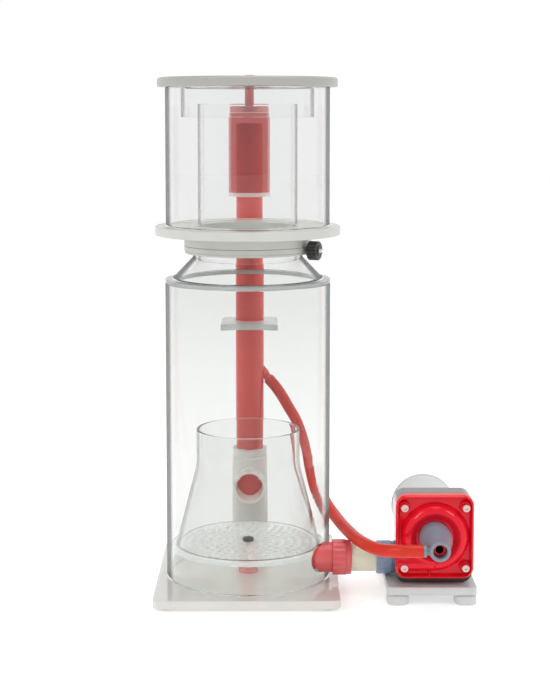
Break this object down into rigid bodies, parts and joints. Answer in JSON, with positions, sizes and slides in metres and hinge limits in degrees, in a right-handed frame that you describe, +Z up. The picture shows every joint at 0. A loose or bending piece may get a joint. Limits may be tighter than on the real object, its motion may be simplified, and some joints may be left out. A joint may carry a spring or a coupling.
{
  "type": "protein skimmer",
  "caption": "Standing clear column with bubble plate and cone, lift-off collection cup and lid, rear standpipe with air silencer, and a floor pump fed through a union.",
  "frame": {"origin": "centre of the footprint on the surface that the object stands on", "axes": "+Z up along the column, +X from the column to the pump, -Y towards the pump's suction nozzle, +Y towards the standpipe"},
  "size_m": [0.383, 0.3282, 0.626],
  "materials": {
    "white_pvc": "glossy white PVC sheet",
    "clear_acrylic": "polished clear acrylic",
    "frosted_acrylic": "satin grey translucent acrylic",
    "grey_pvc": "satin light grey machined PVC",
    "red_acrylic": "translucent red acrylic",
    "red_plastic": "polished red moulded plastic",
    "red_silicone": "smooth red silicone",
    "blue_grey_plastic": "blue-grey moulded plastic",
    "black_plastic": "satin black",
    "black_rubber": "matt black rubber",
    "white_plastic": "satin white moulded plastic",
    "stainless_steel": "turned stainless steel",
    "white_ceramic": "ground ceramic",
    "dark_magnet": "coated magnet"
  },
  "bodies": {
    "stand": {"base_plate": "white_pvc", "rubber_foot_1": "black_rubber", "rubber_foot_2": "black_rubber", "rubber_foot_3": "black_rubber", "rubber_foot_4": "black_rubber", "body_tube": "clear_acrylic", "body_top_plate": "frosted_acrylic", "transition_cone": "clear_acrylic", "neck_ring": "grey_pvc", "bubble_plate": "clear_acrylic", "bubble_cone": "clear_acrylic", "centre_post": "red_acrylic", "centre_screw": "black_plastic", "inlet_socket": "red_acrylic", "feed_pipe": "clear_acrylic", "outlet_sleeve": "blue_grey_plastic", "outlet_tee": "frosted_acrylic", "riser_tube": "red_acrylic", "riser_barb": "red_acrylic", "riser_bracket": "clear_acrylic", "volute_cover": "red_plastic", "cover_screw_1": "stainless_steel", "cover_screw_2": "stainless_steel", "cover_screw_3": "stainless_steel", "cover_screw_4": "stainless_steel", "pump_flange": "black_plastic", "volute_casing": "red_plastic", "motor_housing": "white_plastic", "motor_end_cap": "white_plastic", "cable_gland": "black_plastic", "rear_bearing": "white_ceramic", "pump_foot_plate": "white_plastic", "pump_foot_1": "white_plastic", "pump_foot_2": "white_plastic", "pump_foot_3": "white_plastic", "pump_foot_4": "white_plastic", "suction_nozzle": "blue_grey_plastic", "air_barb": "blue_grey_plastic", "air_hose": "red_silicone"},
    "cup": {"cup_collar": "grey_pvc", "cup_oring": "black_rubber", "cup_flange": "grey_pvc", "cup_tube": "clear_acrylic", "neck_tube": "clear_acrylic"},
    "lid": {"lid_disc": "frosted_acrylic", "lid_collar": "clear_acrylic"},
    "screw_pad": {"pressure_pad": "black_plastic"},
    "thumbscrew": {"thumbscrew_knob": "black_plastic", "thumbscrew_shank": "stainless_steel"},
    "union_ring": {"union_thrust_ring": "white_plastic"},
    "union_nut": {"union_nut": "red_acrylic"},
    "silencer": {"silencer_ring": "frosted_acrylic", "silencer_sleeve": "red_acrylic", "silencer_cap": "red_acrylic", "intake_nipple": "red_acrylic"},
    "rotor": {"rotor_magnet": "dark_magnet", "needle_wheel": "white_plastic", "pump_shaft": "white_ceramic"}
  },
  "joints": [
    {"name": "cup_lift", "type": "slide", "parent": "stand", "child": "cup", "axis": [0, 0, 1], "range_m": [0, 0.05]},
    {"name": "lid_lift", "type": "slide", "parent": "cup", "child": "lid", "axis": [0, 0, 1], "range_m": [0, 0.06]},
    {"name": "screw_travel", "type": "slide", "parent": "stand", "child": "screw_pad", "axis": [0.9063, -0.4226, 0], "range_m": [0, 0.004]},
    {"name": "screw_turn", "type": "hinge", "parent": "screw_pad", "child": "thumbscrew", "pos_m": [-0.0795, -0.014, 0.4146], "axis": [0.9063, -0.4226, 0], "range_deg": [0, 1800]},
    {"name": "union_travel", "type": "slide", "parent": "stand", "child": "union_ring", "axis": [1, 0, 0], "range_m": [0, 0.0105]},
    {"name": "union_turn", "type": "hinge", "parent": "union_ring", "child": "union_nut", "pos_m": [0.034, -0.054, 0.043], "axis": [1, 0, 0], "range_deg": [0, 1260]},
    {"name": "silencer_pull", "type": "slide", "parent": "stand", "child": "silencer", "axis": [0, 0, 1], "range_m": [0, 0.1]},
    {"name": "rotor_spin", "type": "hinge", "parent": "stand", "child": "rotor", "pos_m": [0.1415, -0.036, 0.081], "axis": [0, 1, 0], "continuous": true}
  ],
  "couplings": [
    {"joint": "screw_travel", "follows": "screw_turn", "m_per_rad": 0.00012732},
    {"joint": "union_travel", "follows": "union_turn", "m_per_rad": 0.00047746}
  ]
}
